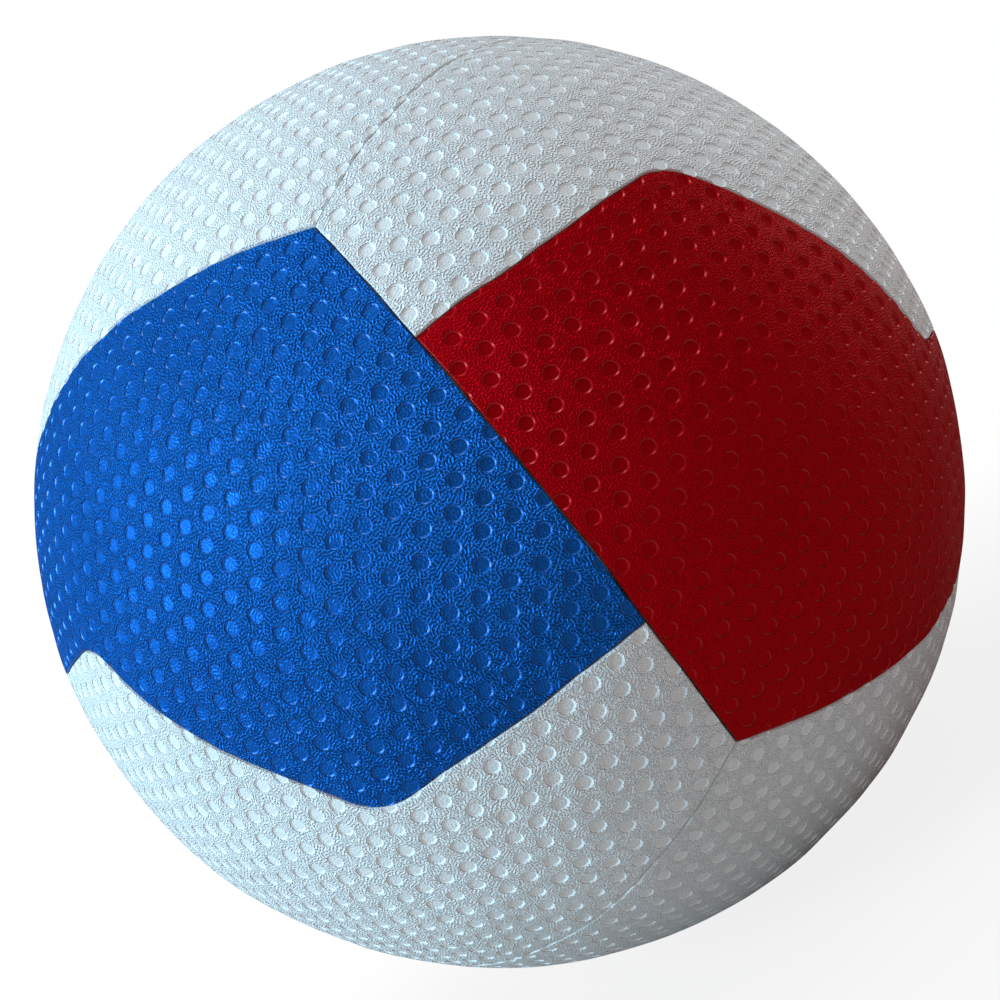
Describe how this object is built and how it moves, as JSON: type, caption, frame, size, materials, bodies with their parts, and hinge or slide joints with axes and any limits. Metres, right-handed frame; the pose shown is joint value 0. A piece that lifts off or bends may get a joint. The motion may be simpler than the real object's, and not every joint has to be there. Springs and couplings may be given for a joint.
{
  "type": "volleyball",
  "caption": "Inflated indoor volleyball with a glued cover of square end panels and interlocking stepped side panels in white, blue and red, and a self-sealing needle valve.",
  "frame": {"origin": "centre of the ball", "axes": "+Z along the main axis, through the middle of the end panel that holds the valve; -Y through the middle of the straight seam that faces the viewer in the picture, +X to its right"},
  "size_m": [0.21, 0.21, 0.2099],
  "materials": {
    "panel_white": "satin, dimpled and grained",
    "panel_blue": "satin, dimpled and grained",
    "panel_red": "satin, dimpled and grained",
    "panel_foam": "matt foam",
    "carcass_rubber": "matt moulded",
    "nylon_thread": "wound thread",
    "bladder_rubber": "dusted moulded",
    "housing_rubber": "matt moulded",
    "plug_rubber": "matt moulded"
  },
  "bodies": {
    "root": {"top_end_panel": "panel_white", "bottom_end_panel": "panel_white", "upper_panel_front_left": "panel_blue", "lower_panel_front_left": "panel_white", "upper_panel_front_right": "panel_white", "lower_panel_front_right": "panel_red", "upper_panel_back_right": "panel_blue", "lower_panel_back_right": "panel_white", "upper_panel_back_left": "panel_white", "lower_panel_back_left": "panel_red", "top_end_foam": "panel_foam", "bottom_end_foam": "panel_foam", "upper_foam_front_left": "panel_foam", "lower_foam_front_left": "panel_foam", "upper_foam_front_right": "panel_foam", "lower_foam_front_right": "panel_foam", "upper_foam_back_right": "panel_foam", "lower_foam_back_right": "panel_foam", "upper_foam_back_left": "panel_foam", "lower_foam_back_left": "panel_foam", "carcass": "carcass_rubber", "thread_winding": "nylon_thread", "bladder": "bladder_rubber", "valve_housing": "housing_rubber", "valve_plug": "plug_rubber"}
  },
  "joints": []
}
